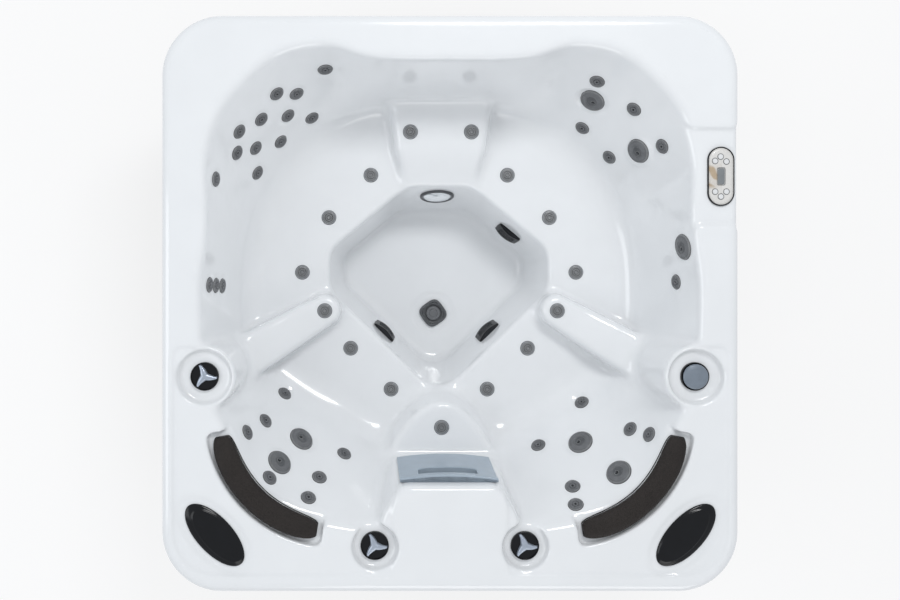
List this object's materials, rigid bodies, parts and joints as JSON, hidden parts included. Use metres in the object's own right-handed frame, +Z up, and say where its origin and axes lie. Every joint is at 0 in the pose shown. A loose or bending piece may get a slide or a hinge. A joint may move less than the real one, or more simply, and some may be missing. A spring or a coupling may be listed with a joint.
{
  "type": "hot tub",
  "caption": "Square acrylic hot tub with moulded seats, wall jets, two headrest pillows, deck valves, skimmer, speakers and a control panel, in a grooved grey cabinet.",
  "frame": {"origin": "on the floor under the middle of the tub", "axes": "+Z up; -Y towards the skimmer and the access panel; +X towards the control panel"},
  "size_m": [2, 2, 0.8905],
  "materials": {
    "acrylic": "high gloss white",
    "jet_grey": "satin grey",
    "dark_plastic": "dark satin",
    "black_gloss": "black gloss",
    "silver_blue": "satin silver blue",
    "pale_blue_plastic": "satin pale blue grey",
    "brown_cushion": "soft dark brown",
    "panel_white": "satin cream",
    "screen_glass": "smooth",
    "button_grey": "soft matte",
    "cabinet_grey": "matte with a light grain",
    "frame_wood": "sawn",
    "foam": "matte",
    "pipe_white": "smooth",
    "motor_grey": "satin",
    "steel": "brushed",
    "lens_clear": "clear",
    "filter_paper": "pleated"
  },
  "bodies": {
    "tub": {"shell": "acrylic", "small_jet_bodies": "jet_grey", "small_jet_faces": "jet_grey", "air_jet_bodies": "jet_grey", "air_jet_caps": "jet_grey", "large_jet_bodies": "jet_grey", "floor_drain_body": "dark_plastic", "floor_drain_cap": "dark_plastic", "suction_bodies": "dark_plastic", "suction_covers": "dark_plastic", "light_housing": "dark_plastic", "light_lens": "lens_clear", "skimmer_housing": "pipe_white", "valve_bodies": "jet_grey", "pillow_left": "brown_cushion", "pillow_right": "brown_cushion", "pillow_pins": "dark_plastic", "speaker_housings": "dark_plastic", "panel_housing": "dark_plastic", "panel_face": "panel_white", "panel_screen": "screen_glass", "base_pan": "dark_plastic", "floor_cradle": "foam", "frame_rails": "frame_wood", "frame_posts": "frame_wood", "cabinet_panel_left": "cabinet_grey", "cabinet_panel_right": "cabinet_grey", "cabinet_panel_back": "cabinet_grey", "corner_covers": "cabinet_grey", "panel_screws": "steel", "pump_motor": "motor_grey", "pump_wet_end": "dark_plastic", "heater": "steel", "control_box": "motor_grey", "air_blower": "dark_plastic", "pipes": "pipe_white"},
    "access_panel": {"access_panel": "cabinet_grey"},
    "skimmer_front": {"skimmer_plate": "pale_blue_plastic", "filter_cartridge": "filter_paper"},
    "weir": {"weir_flap": "pale_blue_plastic"},
    "handle_left": {"handle_left": "silver_blue"},
    "handle_front_left": {"handle_front_left": "silver_blue"},
    "handle_front_right": {"handle_front_right": "silver_blue"},
    "air_cap": {"air_control_cap": "silver_blue"},
    "speaker_left": {"speaker_left": "black_gloss"},
    "speaker_right": {"speaker_right": "black_gloss"},
    "pump_rotor": {"pump_rotor": "steel"},
    "large_jet_1": {"large_jet_face_1": "jet_grey"},
    "large_jet_2": {"large_jet_face_2": "jet_grey"},
    "large_jet_3": {"large_jet_face_3": "jet_grey"},
    "large_jet_4": {"large_jet_face_4": "jet_grey"},
    "large_jet_5": {"large_jet_face_5": "jet_grey"},
    "large_jet_6": {"large_jet_face_6": "jet_grey"},
    "large_jet_7": {"large_jet_face_7": "jet_grey"},
    "button_1": {"panel_button_1": "button_grey"},
    "button_2": {"panel_button_2": "button_grey"},
    "button_3": {"panel_button_3": "button_grey"},
    "button_4": {"panel_button_4": "button_grey"},
    "button_5": {"panel_button_5": "button_grey"},
    "button_6": {"panel_button_6": "button_grey"}
  },
  "joints": [
    {"name": "access_panel_lift", "type": "slide", "parent": "tub", "child": "access_panel", "axis": [0, -1, 0], "range_m": [0, 0.3]},
    {"name": "skimmer_front_pull", "type": "slide", "parent": "tub", "child": "skimmer_front", "axis": [0, 1, 0], "range_m": [0, 0.3]},
    {"name": "weir_swing", "type": "hinge", "parent": "skimmer_front", "child": "weir", "pos_m": [0, -0.61825, 0.79489], "axis": [-1, 0, 0], "range_deg": [-4, 70]},
    {"name": "handle_left_turn", "type": "hinge", "parent": "tub", "child": "handle_left", "pos_m": [-0.852, -0.254, 0.845], "axis": [0, 0, 1], "range_deg": [-90, 90]},
    {"name": "handle_front_left_turn", "type": "hinge", "parent": "tub", "child": "handle_front_left", "pos_m": [-0.261, -0.842, 0.845], "axis": [0, 0, 1], "range_deg": [-90, 90]},
    {"name": "handle_front_right_turn", "type": "hinge", "parent": "tub", "child": "handle_front_right", "pos_m": [0.261, -0.842, 0.845], "axis": [0, 0, 1], "range_deg": [-90, 90]},
    {"name": "air_cap_turn", "type": "hinge", "parent": "tub", "child": "air_cap", "pos_m": [0.852, -0.254, 0.845], "axis": [0, 0, 1], "range_deg": [-90, 90]},
    {"name": "large_jet_1_turn", "type": "hinge", "parent": "tub", "child": "large_jet_1", "pos_m": [0.54374, 0.73477, 0.65104], "axis": [-0.496, -0.6824, 0.537], "range_deg": [-90, 90]},
    {"name": "large_jet_2_turn", "type": "hinge", "parent": "tub", "child": "large_jet_2", "pos_m": [0.711, 0.54854, 0.65529], "axis": [-0.7728, -0.3802, 0.5082], "range_deg": [-90, 90]},
    {"name": "large_jet_3_turn", "type": "hinge", "parent": "tub", "child": "large_jet_3", "pos_m": [0.82963, 0.19579, 0.79635], "axis": [-0.9577, -0.1457, 0.2483], "range_deg": [-90, 90]},
    {"name": "large_jet_4_turn", "type": "hinge", "parent": "tub", "child": "large_jet_4", "pos_m": [-0.52892, -0.5181, 0.6076], "axis": [0.472, 0.6565, 0.5884], "range_deg": [-90, 90]},
    {"name": "large_jet_5_turn", "type": "hinge", "parent": "tub", "child": "large_jet_5", "pos_m": [-0.60047, -0.57801, 0.73383], "axis": [0.5376, 0.6079, 0.5843], "range_deg": [-90, 90]},
    {"name": "large_jet_6_turn", "type": "hinge", "parent": "tub", "child": "large_jet_6", "pos_m": [0.50989, -0.53035, 0.60647], "axis": [-0.4506, 0.6669, 0.5935], "range_deg": [-90, 90]},
    {"name": "large_jet_7_turn", "type": "hinge", "parent": "tub", "child": "large_jet_7", "pos_m": [0.60894, -0.60565, 0.77027], "axis": [-0.5333, 0.6088, 0.5874], "range_deg": [-90, 90]},
    {"name": "speaker_left_rise", "type": "slide", "parent": "tub", "child": "speaker_left", "axis": [0, 0, 1], "range_m": [0, 0.04]},
    {"name": "speaker_right_rise", "type": "slide", "parent": "tub", "child": "speaker_right", "axis": [0, 0, 1], "range_m": [0, 0.04]},
    {"name": "button_1_press", "type": "slide", "parent": "tub", "child": "button_1", "axis": [0, 0, -1], "range_m": [0, 0.001], "stiffness_N_per_m": 800},
    {"name": "button_2_press", "type": "slide", "parent": "tub", "child": "button_2", "axis": [0, 0, -1], "range_m": [0, 0.001], "stiffness_N_per_m": 800},
    {"name": "button_3_press", "type": "slide", "parent": "tub", "child": "button_3", "axis": [0, 0, -1], "range_m": [0, 0.001], "stiffness_N_per_m": 800},
    {"name": "button_4_press", "type": "slide", "parent": "tub", "child": "button_4", "axis": [0, 0, -1], "range_m": [0, 0.001], "stiffness_N_per_m": 800},
    {"name": "button_5_press", "type": "slide", "parent": "tub", "child": "button_5", "axis": [0, 0, -1], "range_m": [0, 0.001], "stiffness_N_per_m": 800},
    {"name": "button_6_press", "type": "slide", "parent": "tub", "child": "button_6", "axis": [0, 0, -1], "range_m": [0, 0.001], "stiffness_N_per_m": 800},
    {"name": "pump_spin", "type": "hinge", "parent": "tub", "child": "pump_rotor", "pos_m": [-0.33, -0.69, 0.15], "axis": [1, 0, 0], "continuous": true}
  ]
}
